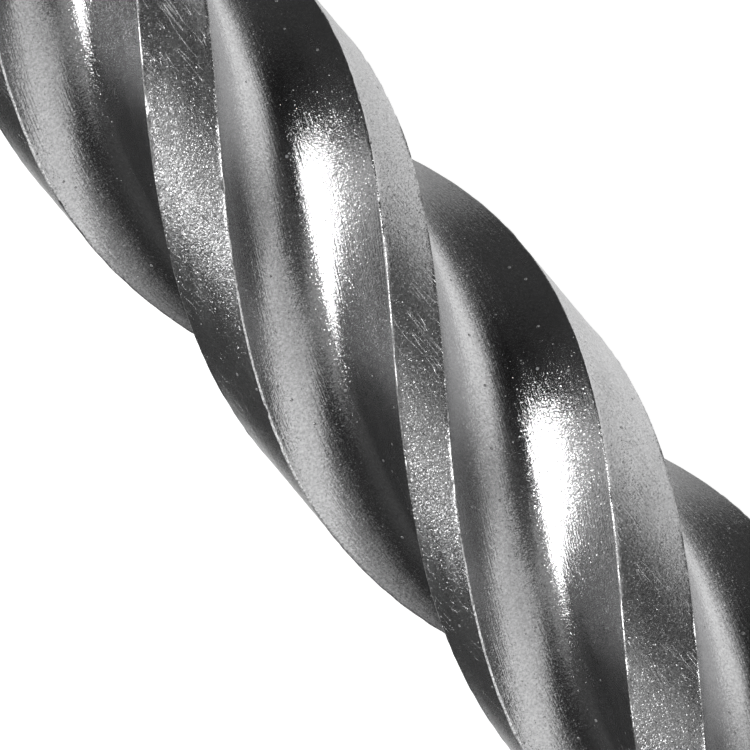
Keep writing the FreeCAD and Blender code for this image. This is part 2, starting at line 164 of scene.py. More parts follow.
class StageLook(bpy.types.PropertyGroup):
    """Camera, lights and floor."""
    aim_x: length("Aim", "Place on the axis near the picture's centre", 107.4 * MM)
    aim_right: length("Aim Right", "That place, right of the centre", 0.795 * MM)
    aim_up: length("Aim Up", "That place, above the centre", 0.664 * MM)
    view_width: length("View Width", "Width of the picture at the axis", 25.27 * MM)
    distance: length("Camera Distance", "Camera to the axis", 437.5 * MM)
    tilt: angle("Camera Tilt", "Lean of the view from straight down", 5.58)
    roll: angle("Camera Roll", "Axis in the picture, above level", 50.14)
    key_power: FloatProperty(name="Key Power", description="Of the softbox at the picture's left", default=1.08,
                             min=0, unit="POWER")
    fill_power: FloatProperty(name="Fill Power", description="Of the softbox at the picture's right", default=0.55,
                              min=0, unit="POWER")
    end_power: FloatProperty(name="End Power", description="Of the softbox at the point's end", default=0.42,
                             min=0, unit="POWER")
    glow_power: FloatProperty(name="Glow Power", description="Of the dim softbox beside the key", default=0.08,
                              min=0, unit="POWER")
    floor: colour("Floor", "Plain pale floor", (0.86, 0.86, 0.86))


class BitSettings(bpy.types.PropertyGroup):
    """All that a user would change."""
    spiral: PointerProperty(type=SpiralSizes)
    shank: PointerProperty(type=ShankSizes)
    head: PointerProperty(type=HeadSizes)
    finish: PointerProperty(type=FinishLook)
    stage: PointerProperty(type=StageLook)


def settings():
    return bpy.context.scene.drill_bit


def deselect():
    """Leaves nothing selected, in object mode."""
    if bpy.context.object and bpy.context.object.mode != "OBJECT":
        bpy.ops.object.mode_set(mode="OBJECT")
    bpy.ops.object.select_all(action="DESELECT")


def activate(piece):
    """Selects one object alone."""
    deselect()
    piece.select_set(True)
    bpy.context.view_layer.objects.active = piece


def name_new(name):
    """Names the primitive that was just added."""
    piece = bpy.context.object
    piece.name = name
    piece.data.name = name
    return piece


def settle(piece):
    """Puts an object's place and turn into its mesh."""
    activate(piece)
    bpy.ops.object.transform_apply(location=True, rotation=True, scale=True)


def read_points(piece):
    points = np.empty(len(piece.data.vertices) * 3)
    piece.data.vertices.foreach_get("co", points)
    return points.reshape(-1, 3)


def write_points(piece, points):
    piece.data.vertices.foreach_set("co", points.astype(np.float32).ravel())
    piece.data.update()


def tidy_mesh(piece, merge=0.0001 * MM):
    """Merges doubled points and turns the faces outwards."""
    activate(piece)
    bpy.ops.object.mode_set(mode="EDIT")
    bpy.ops.mesh.select_all(action="SELECT")
    bpy.ops.mesh.remove_doubles(threshold=merge)
    bpy.ops.mesh.normals_make_consistent(inside=False)
    bpy.ops.object.mode_set(mode="OBJECT")


def combine(piece, other, operation="DIFFERENCE"):
    """Cuts, joins or crosses one solid with another, which is then removed."""
    activate(piece)
    cut = piece.modifiers.new("cut", "BOOLEAN")
    cut.operation = operation
    cut.solver = "EXACT"
    cut.object = other
    bpy.ops.object.modifier_apply(modifier=cut.name)
    bpy.data.objects.remove(other)


def adopt(piece, slot, *nodes):
    """Ties a new piece to the frame, in place of CAD nodes."""
    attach(piece, "root")
    if nodes:
        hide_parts(*nodes)


# The spiral's section


def flute_wall(spiral):
    """For a flute that starts at angle 0: the hollow wall's centre, its angle, and the point where the
    straight back leaves it, as complex numbers across the axis."""
    reach = spiral.core + spiral.wall
    lean = math.acos((reach ** 2 + spiral.radius ** 2 - spiral.wall ** 2) / (2 * reach * spiral.radius))
    centre = reach * complex(math.cos(lean), math.sin(lean))
    stop = spiral.radius * complex(math.cos(spiral.flute), math.sin(spiral.flute))
    away = stop - centre
    turn = math.atan2(away.imag, away.real) + math.acos(spiral.wall / abs(away))
    touch = centre + spiral.wall * complex(math.cos(turn), math.sin(turn))
    return centre, lean, touch, stop


# Where the root is deepest, as a share of the flute's width
ROOT_PLACE = 0.52
# The foot of the hollow wall: how far its bend is eased to each side, and how far that easing reaches
FOOT_EASE = math.radians(7)
FOOT_REACH = math.radians(12)


def flute_radius(spiral, turn):
    """Axis to the flute's surface, at angles from the flute's start, with an even bend at the wall's foot."""
    touch = flute_wall(spiral)[2]
    off = (turn - math.atan2(touch.imag, touch.real)) / FOOT_REACH
    ease = FOOT_EASE * np.exp(-off * off)
    return sum(plain_flute(spiral, turn + part * ease) for part in (-1, -0.5, 0, 0.5, 1)) / 5


def plain_flute(spiral, turn):
    """The flute's surface with the hollow wall and the straight back meeting at the foot."""
    centre, lean, touch, stop = flute_wall(spiral)
    reach = abs(centre)
    off = turn - lean
    hollow = reach * np.cos(off) - np.sqrt(np.maximum(spiral.wall ** 2 - (reach * np.sin(off)) ** 2, 0))
    along = stop - touch
    face = touch.real * along.imag - touch.imag * along.real
    back = face / np.maximum(np.cos(turn) * along.imag - np.sin(turn) * along.real, 1e-6)
    outline = np.where(turn < math.atan2(touch.imag, touch.real), hollow, back)
    share = np.clip(turn / spiral.flute, 0, 1)
    depth = np.where(share < ROOT_PLACE, share / ROOT_PLACE, (1 - share) / (1 - ROOT_PLACE))
    return outline - spiral.root * depth * depth * (3 - 2 * depth)


def section_radius(spiral, turn):
    """Axis to the section's outline, at angles from a wide land's middle."""
    wide = spiral.wide_land
    narrow = math.pi - 2 * spiral.flute - wide
    place = np.mod(turn, math.pi)
    starts = (wide / 2, wide / 2 + spiral.flute + narrow)
    outline = np.full_like(place, spiral.radius)
    for start in starts:
        inside = (place > start) & (place < start + spiral.flute)
        outline = np.where(inside, flute_radius(spiral, np.clip(place - start, 0, spiral.flute)), outline)
    return np.minimum(outline, spiral.radius)


# Mesh steps from a land's edge inwards, and the widest steps on a land and in a flute
LIP_STEPS = np.array((0.04, 0.09, 0.2)) * MM
LAND_STEP = 0.5 * MM
WALL_STEP = 0.36 * MM


def land_columns(spiral, start, width):
    """Angles of the mesh lines over one land, close together by its edges."""
    steps = LIP_STEPS / spiral.radius
    inner = np.linspace(start + steps[-1], start + width - steps[-1],
                        max(2, round((width - 2 * steps[-1]) * spiral.radius / LAND_STEP)) + 1)
    return np.concatenate(([start], start + steps[:-1], inner, start + width - steps[-2::-1]))


def flute_columns(spiral, start):
    """Angles of the mesh lines over one flute, at even steps along its surface."""
    centre, _, touch, stop = flute_wall(spiral)
    first = complex(spiral.radius, 0) - centre
    last = touch - centre
    sweep = math.atan2((first.conjugate() * last).imag, (first.conjugate() * last).real)
    arc = abs(sweep) * spiral.wall
    marks = np.concatenate((LIP_STEPS * 0.8, np.linspace(LIP_STEPS[-1] + WALL_STEP / 2, arc,
                                                        round(arc / WALL_STEP))))
    hollow = centre + first * np.exp(1j * math.copysign(1, sweep) * marks / spiral.wall)
    climb = abs(stop - touch)
    marks = np.concatenate((np.linspace(0, climb - 2 * LIP_STEPS[-1], round(climb / WALL_STEP))[1:],
                            climb - LIP_STEPS[::-1]))
    back = touch + (stop - touch) / climb * marks
    return start + np.angle(np.concatenate((hollow, back)))


def section_columns(spiral):
    """Angles of the mesh lines round the section."""
    wide = spiral.wide_land
    narrow = math.pi - 2 * spiral.flute - wide
    angles = []
    for half in (0, math.pi):
        angles.append(land_columns(spiral, half - wide / 2, wide))
        angles.append(flute_columns(spiral, half + wide / 2))
        angles.append(land_columns(spiral, half + wide / 2 + spiral.flute, narrow))
        angles.append(flute_columns(spiral, half + wide / 2 + spiral.flute + narrow))
    return np.concatenate(angles)


def edge_distance(spiral, turn):
    """Signed arc length from the nearest land edge, positive on the land's side, with that edge's number."""
    wide = spiral.wide_land
    narrow = math.pi - 2 * spiral.flute - wide
    nearest = np.full(turn.shape, np.inf)
    number = np.zeros(turn.shape, int)
    edges = []
    for half in (0, math.pi):
        edges += [(half - wide / 2, 1), (half + wide / 2, -1)]
        middle = half + math.pi / 2
        edges += [(middle - narrow / 2, 1), (middle + narrow / 2, -1)]
    for index, (place, inward) in enumerate(edges):
        off = (np.mod(turn - place + math.pi, TAU) - math.pi) * spiral.radius * inward
        closer = np.abs(off) < np.abs(nearest)
        nearest = np.where(closer, off, nearest)
        number = np.where(closer, index, number)
    return nearest, number


# The body's surface


def land_turn(spiral, x):
    """Angle of a wide land's middle. The wide lands cross the plate at half its height."""
    return TAU * (x - (PLATE_LOW.x + TIP_X) / 2) / spiral.lead


# The stretch of the axis that the camera sees, with some to spare
CLOSE_STRETCH = (84 * MM, 132 * MM)
# Wide pitch of the rings on the plain shank and neck
PLAIN_PITCH = 1.2 * MM


def body_stations(bit):
    """Places along the axis of the mesh's rings, close together where the spiral is seen closest."""
    shank, spiral = bit.shank, bit.spiral
    full_depth = shank.length + shank.neck_length
    near_start, near_stop = CLOSE_STRETCH
    step = shank.radius - shank.neck_radius
    runs = ((0, 0, 1), (shank.chamfer, shank.length, PLAIN_PITCH),
            (shank.length + step, runout_start(bit), PLAIN_PITCH),
            (runout_start(bit) + spiral.far_pitch, full_depth - spiral.far_pitch, spiral.far_pitch / 2),
            (full_depth, near_start - spiral.far_pitch, spiral.far_pitch),
            (near_start, near_stop - spiral.near_pitch, spiral.near_pitch),
            (near_stop, TIP_X + MM, spiral.far_pitch))
    return np.concatenate([np.linspace(start, stop, round((stop - start) / pitch) + 1)
                           for start, stop, pitch in runs])


def runout_start(bit):
    """Where the flute floors' sweep meets the neck."""
    shank = bit.shank
    low = bit.spiral.core - shank.runout_sink
    rise = shank.neck_radius - low
    return shank.length + shank.neck_length - math.sqrt(shank.runout ** 2 - (shank.runout - rise) ** 2)


def shank_radius(bit, x):
    """The turned shank and neck, with the end's chamfer."""
    shank = bit.shank
    chamfered = np.minimum(shank.radius, shank.radius - shank.chamfer + x)
    step = shank.radius - shank.neck_radius
    return np.clip(shank.length + step - x + shank.neck_radius, shank.neck_radius, chamfered)


def body_radius(bit, x, turn):
    """Axis to the body's surface: shank, run-out, lands and flutes."""
    shank, spiral = bit.shank, bit.spiral
    start = runout_start(bit)
    low = spiral.core - shank.runout_sink
    full_depth = shank.length + shank.neck_length
    sweep = low + shank.runout - np.sqrt(np.maximum(shank.runout ** 2 - (full_depth - x) ** 2, 0))
    root = np.where(x < start, shank_radius(bit, x), np.where(x < full_depth, sweep, 0))
    shoulder = shank.neck_radius + (x - start) * math.tan(shank.shoulder)
    section = section_radius(spiral, turn - land_turn(spiral, x))
    lands = np.where(x < start, 0, np.minimum(section, np.maximum(shoulder, 0)))
    return np.maximum(root, lands)


def ragged(rng, count, reach):
    """Smooth random numbers from 0 to 1 along a line, over a given number of places each."""
    knots = rng.random(count // reach + 3)
    places = np.arange(count) / reach
    whole = places.astype(int)
    part = places - whole
    part = part * part * (3 - 2 * part)
    return knots[whole] * (1 - part) + knots[whole + 1] * part


def edge_shapes(bit, stations):
    """For each of the eight land edges: the lip's height and the edge's wander, ring by ring."""
    rng = np.random.default_rng(11)
    lips, wanders = [], []
    for _ in range(8):
        count = len(stations)
        tall = ragged(rng, count, 2) * (0.35 + 0.65 * ragged(rng, count, 9))
        chips = np.clip(ragged(rng, count, 3) * 9 - 7.8, 0, 1)
        lips.append(bit.spiral.burr * (tall - 1.2 * chips))
        wanders.append(bit.spiral.wander * (ragged(rng, count, 3) + ragged(rng, count, 14) - 1))
    return np.array(lips), np.array(wanders)


def add_rolled_body(bit):
    """A grid rolled round the axis and shaped into the whole body, without its slots."""
    spiral = bit.spiral
    stations = body_stations(bit)
    columns = section_columns(spiral)
    columns = np.append(columns, columns[0] + TAU)
    deselect()
    bpy.ops.mesh.primitive_grid_add(x_subdivisions=len(stations) - 1, y_subdivisions=len(columns) - 1, size=2)
    body = name_new("bit_body_finished")
    points = read_points(body)
    rings = np.rint((points[:, 0] + 1) / 2 * (len(stations) - 1)).astype(int)
    lines = np.rint((points[:, 1] + 1) / 2 * (len(columns) - 1)).astype(int)

    x = stations[rings]
    start = runout_start(bit)
    even = lines / (len(columns) - 1) * TAU + columns[0]
    wound = columns[lines]
    blend = np.clip((x - bit.shank.length) / (start - bit.shank.length), 0, 1)
    turn = even + (wound - even) * blend + land_turn(spiral, np.maximum(x, start))

    near, edge = edge_distance(spiral, wound)
    lips, wanders = edge_shapes(bit, stations)
    on_spiral = (x > start + 1.5 * MM) & (x < TIP_X - bit.head.length - 2 * MM)
    radius = body_radius(bit, x, turn)
    at_edge = np.abs(near) < LIP_STEPS[0] / 4
    on_lip = (near > LIP_STEPS[0] / 4) & (near < LIP_STEPS[0] * 1.2)
    raised = lips[edge, rings]
    radius = radius + np.where(on_spiral & on_lip, raised, 0)
    radius = radius + np.where(on_spiral & at_edge, 0.2 * raised - 0.012 * MM, 0)
    close = np.exp(-(near / (2 * LIP_STEPS[0])) ** 2)
    turn = turn + np.where(on_spiral, wanders[edge, rings] * close / spiral.radius, 0)

    write_points(body, np.stack((x, radius * np.cos(turn), radius * np.sin(turn)), axis=1))
    # Land edges are marked 1 and their lips 0.8, less off the spiral. The steel's colour is painted near white
    # there, partly as worn metal and partly as a painted highlight.
    wear_and_highlight = body.data.attributes.new("edge_wear", "FLOAT", "POINT")
    bright = np.where(at_edge, 1.0, np.where(on_lip, 0.8, 0.0)) * np.where(on_spiral, 1, 0.4)
    bright = np.where(x < start, 0, bright)
    wear_and_highlight.data.foreach_set("value", bright.astype(np.float32))
    lands = body.data.attributes.new("on_land", "FLOAT", "POINT")
    share = np.clip(near / LIP_STEPS[0] + 0.5, 0, 1) * on_spiral
    lands.data.foreach_set("value", share.astype(np.float32))
    straight = np.where(x < start, turn, wound)
    unwound = body.data.attributes.new("unwound", "FLOAT_VECTOR", "POINT")
    places = np.stack((x, radius * np.cos(straight), radius * np.sin(straight)), axis=1)
    unwound.data.foreach_set("vector", places.astype(np.float32).ravel())

    tidy_mesh(body)
    bpy.ops.object.mode_set(mode="EDIT")
    bpy.ops.mesh.select_all(action="SELECT")
    bpy.ops.mesh.fill_holes(sides=0)
    bpy.ops.mesh.select_all(action="SELECT")
    bpy.ops.mesh.normals_make_consistent(inside=False)
    bpy.ops.object.mode_set(mode="OBJECT")
    return body


# The head


def add_turned(name, profile, segments=144):
    """A solid turned about the axis, from the places and radii of its profile."""
    deselect()
    bpy.ops.mesh.primitive_grid_add(x_subdivisions=len(profile) - 1, y_subdivisions=segments, size=2)
    piece = name_new(name)
    points = read_points(piece)
    rings = np.rint((points[:, 0] + 1) / 2 * (len(profile) - 1)).astype(int)
    turn = (points[:, 1] + 1) * math.pi
    x, radius = np.array(profile)[rings].T
    write_points(piece, np.stack((x, radius * np.cos(turn), radius * np.sin(turn)), axis=1))
    tidy_mesh(piece)
    return piece


def add_cheeks(bit):
    """The steel on both sides of the plate: turned, hollow behind, and cut to the cheeks' width."""
    spiral, head = bit.spiral, bit.head
    low = spiral.core - head.sink
    reach = math.sqrt(head.sweep ** 2 - (head.sweep - (head.radius - low)) ** 2)
    places = np.linspace(0, reach, 15)
    heights = low + head.sweep - np.sqrt(head.sweep ** 2 - places ** 2)
    start = TIP_X - head.length - reach
    profile = [(start, 0)] + [(start + place, height) for place, height in zip(places, heights)]
    profile += [(TIP_X + MM, head.radius), (TIP_X + MM, 0)]
    cheeks = add_turned("cheeks", profile)
    bpy.ops.object.mode_set(mode="EDIT")
    for side in (1, -1):
        bpy.ops.mesh.select_all(action="SELECT")
        bpy.ops.mesh.bisect(plane_co=(0, 0, side * head.width / 2), plane_no=(0, 0, side), use_fill=True,
                            clear_outer=True)
    bpy.ops.object.mode_set(mode="OBJECT")
    return cheeks


def add_nose(bit):
    """What stays of the body once its nose is turned to a cone."""
    nose = TIP_X - bit.head.reach
    wide = 1.5 * bit.spiral.radius
    rim = nose - wide * math.tan(math.pi / 2 - bit.head.point / 2)
    return add_turned("nose", [(-MM, 0), (-MM, wide), (rim, wide), (nose, 0)])


# Cutters for the slots and grooves


def add_slot_cutter(shank, side):
    """A disc whose back half is drawn out past the shank's end, for one open slot."""
    deselect()
    floor = shank.radius - shank.slot_depth
    bpy.ops.mesh.primitive_cylinder_add(vertices=128, radius=shank.slot_cutter, depth=shank.slot_width,
                                        rotation=(math.pi / 2, 0, 0))
    cutter = name_new("slot_cutter")
    settle(cutter)
    points = read_points(cutter)
    behind = points[:, 0] < -0.001 * MM
    points[behind, 2] = np.where(points[behind, 2] < 0, -shank.slot_cutter, shank.slot_cutter)
    points[:, 0] = np.where(behind, -MM, points[:, 0] + shank.slot_length)
    points[:, 2] = side * (points[:, 2] + floor + shank.slot_cutter)
    write_points(cutter, points)
    tidy_mesh(cutter)
    return cutter


def add_groove_cutter(shank, side):
    """A ball drawn out along the shank, for one closed groove."""
    deselect()
    inset = math.sqrt(shank.ball ** 2 - (shank.ball - shank.ball_depth) ** 2)
    bpy.ops.mesh.primitive_uv_sphere_add(segments=96, ring_count=48, radius=shank.ball,
                                         rotation=(0, math.pi / 2, 0))
    cutter = name_new("groove_cutter")
    settle(cutter)
    points = read_points(cutter)
    ahead = points[:, 0] > 0.001 * MM
    points[:, 0] += np.where(ahead, shank.ball_start + shank.ball_length - inset, shank.ball_start + inset)
    points[:, 1] += side * (shank.radius - shank.ball_depth + shank.ball)
    write_points(cutter, points)
    tidy_mesh(cutter)
    return cutter


def add_plate_cutter(bit):
    """A block as wide as the plate and its filler."""
    deselect()
    seat = PLATE_LOW.x - bit.head.gap
    half = PLATE_HIGH.z + bit.head.gap
    bpy.ops.mesh.primitive_cube_add(size=2)
    cutter = name_new("plate_cutter")
    points = read_points(cutter)
    points = points * (0, 2 * bit.spiral.radius, half) + np.where(points[:, :1] < 0, seat, TIP_X + MM) * (1, 0, 0)
    write_points(cutter, points)
    return cutter


def break_shank_edges(body, bit):
    """Rounds the sharp edges of the shank a little, between its end chamfer and its neck."""
    activate(body)
    bpy.ops.object.mode_set(mode="EDIT")
    bpy.ops.mesh.select_mode(type="EDGE")
    bpy.ops.mesh.select_all(action="DESELECT")
    bpy.ops.mesh.edges_select_sharp(sharpness=SHARP)
    bpy.ops.object.mode_set(mode="OBJECT")
    x = read_points(body)[:, 0]
    start, stop = bit.shank.chamfer + 0.1 * MM, bit.shank.length - 2 * MM
    chosen = body.data.attributes.new("bevel_weight_edge", "FLOAT", "EDGE")
    for edge in body.data.edges:
        if edge.select and all(start < x[vertex] < stop for vertex in edge.vertices):
            chosen.data[edge.index].value = 1.0
    rounding = body.modifiers.new("rounding", "BEVEL")
    rounding.limit_method = "WEIGHT"
    rounding.width = bit.shank.edge_break
    rounding.segments = 2
    rounding.use_clamp_overlap = False
    bpy.ops.object.modifier_apply(modifier=rounding.name)


def flatten_shank(body, bit):
    """Keeps the flat faces of the shank and the head flat between their rounded edges."""
    x = read_points(body)[:, 0]
    ends = np.nonzero((x < bit.shank.length - 2 * MM) | (x > TIP_X - bit.head.length - MM))[0]
    group = body.vertex_groups.new(name="flat_faces")
    group.add(ends.tolist(), 1.0, "REPLACE")
    activate(body)
    flat = body.modifiers.new("flat", "WEIGHTED_NORMAL")
    flat.keep_sharp = True
    flat.vertex_group = group.name
    bpy.ops.object.modifier_apply(modifier=flat.name)


# Materials


class Nodes:
    """Short calls for making and linking a material's nodes."""

    def __init__(self, name):
        self.material = bpy.data.materials.new(name)
        self.material.use_nodes = True
        self.tree = self.material.node_tree
        self.surface = self.tree.nodes["Principled BSDF"]
        self.place = self.add("ShaderNodeTexCoord").outputs["Object"]

    def add(self, kind, **values):
        node = self.tree.nodes.new(kind)
        for key, value in values.items():
            setattr(node, key, value)
        return node

    def link(self, source, target):
        self.tree.links.new(source, target)

    def stretched(self, scale, place=None):
        """Object coordinates, or others, with a scale along each axis."""
        mapping = self.add("ShaderNodeMapping")
        mapping.inputs["Scale"].default_value = scale
        self.link(place or self.place, mapping.inputs["Vector"])
        return mapping.outputs["Vector"]

    def noise(self, size, detail=2.0, rough=0.5, place=None):
        """Noise whose lumps have a given size in metres."""
        noise = self.add("ShaderNodeTexNoise")
        noise.inputs["Scale"].default_value = 1 / size
        noise.inputs["Detail"].default_value = detail
        noise.inputs["Roughness"].default_value = rough
        self.link(place or self.place, noise.inputs["Vector"])
        return noise.outputs["Fac"]

    def cells(self, size):
        """Random cells of a given size in metres."""
        cells = self.add("ShaderNodeTexVoronoi")
        cells.inputs["Scale"].default_value = 1 / size
        self.link(self.place, cells.inputs["Vector"])
        return cells.outputs

    def vector(self, operation, first, second, socket=1):
        """A sum or product of a vector and another vector or number."""
        node = self.add("ShaderNodeVectorMath", operation=operation)
        self.link(first, node.inputs[0])
        if isinstance(second, tuple):
            node.inputs[socket].default_value = second
        elif second is not None:
            self.link(second, node.inputs[socket])
        return node.outputs["Vector"]

    def facets(self, size, tilt, rarity, gain):
        """The surface's normal, leaning a random way in each small cell, and far in a few cells only."""
        colour = self.cells(size)["Color"]
        pick = self.add("ShaderNodeTexWhiteNoise", noise_dimensions="3D")
        self.link(colour, pick.inputs["Vector"])
        reach = self.math("MULTIPLY", self.math("POWER", pick.outputs["Value"], rarity), 2 * tilt)
        lean = self.vector("SCALE", self.vector("SUBTRACT", colour, (0.5, 0.5, 0.5)),
                           self.math("MULTIPLY", reach, gain), socket=3)
        normal = self.add("ShaderNodeNewGeometry").outputs["Normal"]
        return self.vector("NORMALIZE", self.vector("ADD", normal, lean), None)

    def ramp(self, value, low, high, out_low=0.0, out_high=1.0):
        """A value mapped from one range to another and held within it."""
        ramp = self.add("ShaderNodeMapRange")
        ramp.inputs["From Min"].default_value = low
        ramp.inputs["From Max"].default_value = high
        ramp.inputs["To Min"].default_value = out_low
        ramp.inputs["To Max"].default_value = out_high
        self.link(value, ramp.inputs["Value"])
        return ramp.outputs["Result"]

    def math(self, operation, first, second):
        """A sum, product or the like of two values or numbers."""
        node = self.add("ShaderNodeMath", operation=operation)
        for socket, value in zip(node.inputs, (first, second)):
            if isinstance(value, (int, float)):
                socket.default_value = value
            else:
                self.link(value, socket)
        return node.outputs["Value"]

    def mix(self, share, first, second):
        """A blend of two colours or sockets."""
        node = self.add("ShaderNodeMix", data_type="RGBA")
        self.link(share, node.inputs["Factor"])
        for socket, value in ((node.inputs[6], first), (node.inputs[7], second)):
            if isinstance(value, tuple):
                socket.default_value = value
            else:
                self.link(value, socket)
        return node.outputs[2]

    def bump(self, height, depth, under=None):
        """A bump of a given depth in metres, on top of another."""
        node = self.add("ShaderNodeBump")
        node.inputs["Distance"].default_value = depth
        self.link(height, node.inputs["Height"])
        if under:
            self.link(under, node.inputs["Normal"])
        return node.outputs["Normal"]


def shade(colour, factor=1.0):
    """A colour made lighter or darker, as a socket takes it."""
    return tuple(min(1.0, part * factor) for part in colour) + (1.0,)


def blasted_steel(bit):
    """Grit-blasted steel: smoother flutes, grainier lands with edges painted bright, partly as worn metal and
    partly as a painted highlight, and a ground shank.
    """
    finish = bit.finish
    nodes = Nodes("blasted_steel")
    surface = nodes.surface
    surface.inputs["Metallic"].default_value = 1.0

    pits = nodes.noise(finish.grain, detail=2.0, rough=0.6)
    fine = nodes.noise(finish.grain * 0.45, detail=1.0)
    patches = nodes.noise(1.6 * MM, detail=2.0)
    grit = nodes.ramp(nodes.cells(finish.grain * 9)["Distance"], 0.07, 0.05)

    axis = nodes.add("ShaderNodeSeparateXYZ")
    nodes.link(nodes.place, axis.inputs["Vector"])
    on_shank = nodes.ramp(axis.outputs["X"], bit.shank.length + 0.25 * MM, bit.shank.length + 0.15 * MM)
    on_land = nodes.add("ShaderNodeAttribute", attribute_name="on_land").outputs["Fac"]
    straight = nodes.add("ShaderNodeAttribute", attribute_name="unwound").outputs["Vector"]

    # Painted highlight along the land edges, partly worn metal: the edge mark, broken into beads and stretches,
    # lifts the colour to near white.
    wear_and_highlight = nodes.add("ShaderNodeAttribute", attribute_name="edge_wear").outputs["Fac"]
    beads = nodes.ramp(nodes.noise(0.09 * MM, detail=1.0), 0.42, 0.55)
    stretches = nodes.ramp(nodes.noise(1.3 * MM, detail=1.0), 0.3, 0.55, 0.35, 1)
    bright = nodes.math("MULTIPLY", wear_and_highlight, nodes.math("MULTIPLY", beads, stretches))

    grey = nodes.mix(nodes.ramp(pits, 0.3, 0.7), shade(finish.steel, 0.78), shade(finish.steel, 1.15))
    grey = nodes.mix(nodes.ramp(patches, 0.35, 0.7, 0, 0.3), grey, shade(finish.steel, 0.82))
    grey = nodes.mix(bright, grey, (0.97, 0.97, 0.97, 1))
    rings = nodes.noise(0.12 * MM, detail=2.0, place=nodes.stretched((1.0, 0.05, 0.05)))
    ground = nodes.mix(rings, shade(finish.ground, 0.85), shade(finish.ground, 1.1))
    nodes.link(nodes.mix(on_shank, grey, ground), surface.inputs["Base Color"])

    middle = nodes.ramp(on_land, 0, 1, finish.roughness, finish.land_roughness)
    rough = nodes.math("ADD", middle, nodes.ramp(fine, 0.3, 0.7, -0.04, 0.04))
    smudges = nodes.noise(0.8 * MM, detail=3.0, place=nodes.stretched((0.25, 1.0, 1.0), straight))
    rough = nodes.math("ADD", rough, nodes.ramp(smudges, 0.3, 0.7, -0.03, 0.04))
    rough = nodes.math("ADD", rough, nodes.math("MULTIPLY", grit, 0.5))
    smooth = nodes.ramp(rings, 0.3, 0.7, 0.2, 0.32)
    both = nodes.math("ADD", nodes.math("MULTIPLY", rough, nodes.math("SUBTRACT", 1.0, on_shank)),
                      nodes.math("MULTIPLY", smooth, on_shank))
    nodes.link(both, surface.inputs["Roughness"])

    drawn = nodes.noise(0.07 * MM, detail=2.0, place=nodes.stretched((0.03, 1.0, 1.0), straight))
    streaks = nodes.noise(0.05 * MM, detail=2.0, place=nodes.stretched((0.03, 1.0, 1.0)))
    height = nodes.math("ADD", pits, nodes.math("MULTIPLY", fine, 0.4))
    height = nodes.math("MULTIPLY", height, nodes.ramp(on_land, 0, 1, 1.0, 1.9))
    in_flute = nodes.math("SUBTRACT", 1.0, on_land)
    height = nodes.math("ADD", height, nodes.math("MULTIPLY", nodes.math("MULTIPLY", streaks, on_land), 0.3))
    height = nodes.math("ADD", height, nodes.math("MULTIPLY", nodes.math("MULTIPLY", drawn, in_flute), 0.9))
    height = nodes.math("ADD", height, nodes.math("MULTIPLY", grit, 2.5))
    lines = nodes.noise(0.25 * MM, detail=1.0, place=nodes.stretched((0.12, 1.0, 1.0)))
    lines = nodes.math("MULTIPLY", nodes.ramp(lines, 0.485, 0.5), nodes.ramp(lines, 0.515, 0.5))
    worn = nodes.ramp(nodes.noise(1.5 * MM, detail=2.0), 0.5, 0.6)
    scratches = nodes.math("MULTIPLY", nodes.math("MULTIPLY", lines, worn), on_land)
    height = nodes.math("SUBTRACT", height, nodes.math("MULTIPLY", scratches, 1.2))
    blasted = nodes.math("SUBTRACT", 1.0, nodes.math("MULTIPLY", on_shank, 0.93))
    leaning = nodes.math("MULTIPLY", blasted, nodes.ramp(on_land, 0, 1, 0.7, 1.1))
    facets = nodes.facets(finish.facet, finish.facet_tilt, 3.5, leaning)
    grained = nodes.bump(nodes.math("MULTIPLY", height, blasted), finish.grain_depth, under=facets)
    waved = nodes.bump(nodes.noise(0.9 * MM, detail=1.0), 0.012 * MM, under=grained)
    nodes.link(waved, surface.inputs["Normal"])
    return nodes.material


def ground_carbide(bit):
    """Sintered carbide, finely ground, with lines across the plate."""
    finish = bit.finish
    nodes = Nodes("carbide")
    surface = nodes.surface
    surface.inputs["Metallic"].default_value = 1.0
    grain = nodes.noise(0.1 * MM, detail=3.0)
    lines = nodes.noise(0.06 * MM, detail=2.0, place=nodes.stretched((1.0, 0.04, 1.0)))
    grey = nodes.mix(grain, shade(finish.carbide, 0.75), shade(finish.carbide, 1.25))
    nodes.link(grey, surface.inputs["Base Color"])
    nodes.link(nodes.ramp(grain, 0.3, 0.7, 0.3, 0.45), surface.inputs["Roughness"])
    nodes.link(nodes.bump(lines, 0.006 * MM, under=nodes.bump(grain, 0.012 * MM)), surface.inputs["Normal"])
    return nodes.material


def brazed_filler(bit):
    """Filler metal, dull and a little uneven."""
    finish = bit.finish
    nodes = Nodes("braze")
    surface = nodes.surface
    surface.inputs["Metallic"].default_value = 1.0
    blots = nodes.noise(0.5 * MM, detail=3.0)
    nodes.link(nodes.mix(blots, shade(finish.braze, 0.7), shade(finish.braze, 1.15)), surface.inputs["Base Color"])
    nodes.link(nodes.ramp(blots, 0.3, 0.7, 0.35, 0.55), surface.inputs["Roughness"])
    nodes.link(nodes.bump(blots, 0.03 * MM), surface.inputs["Normal"])
    return nodes.material


def dress(piece, material):
    piece.data.materials.clear()
    piece.data.materials.append(material)


# Operators


class BIT_OT_add_body(bpy.types.Operator):
    """The steel body: slotted shank, neck, four-land spiral and slotted head"""
    bl_idname = "bit.add_body"
    bl_label = "Body"

    def execute(self, context):
        bit = settings()
        body = add_rolled_body(bit)
        for side in (1, -1):
            combine(body, add_slot_cutter(bit.shank, side))
            combine(body, add_groove_cutter(bit.shank, side))
        combine(body, add_cheeks(bit), "UNION")
        combine(body, add_nose(bit), "INTERSECT")
        combine(body, add_plate_cutter(bit))
        break_shank_edges(body, bit)
        activate(body)
        bpy.ops.object.shade_smooth_by_angle(angle=SHARP)
        flatten_shank(body, bit)
        dress(body, blasted_steel(bit))
        adopt(body, "blasted_steel", "bit_body")
        return {"FINISHED"}


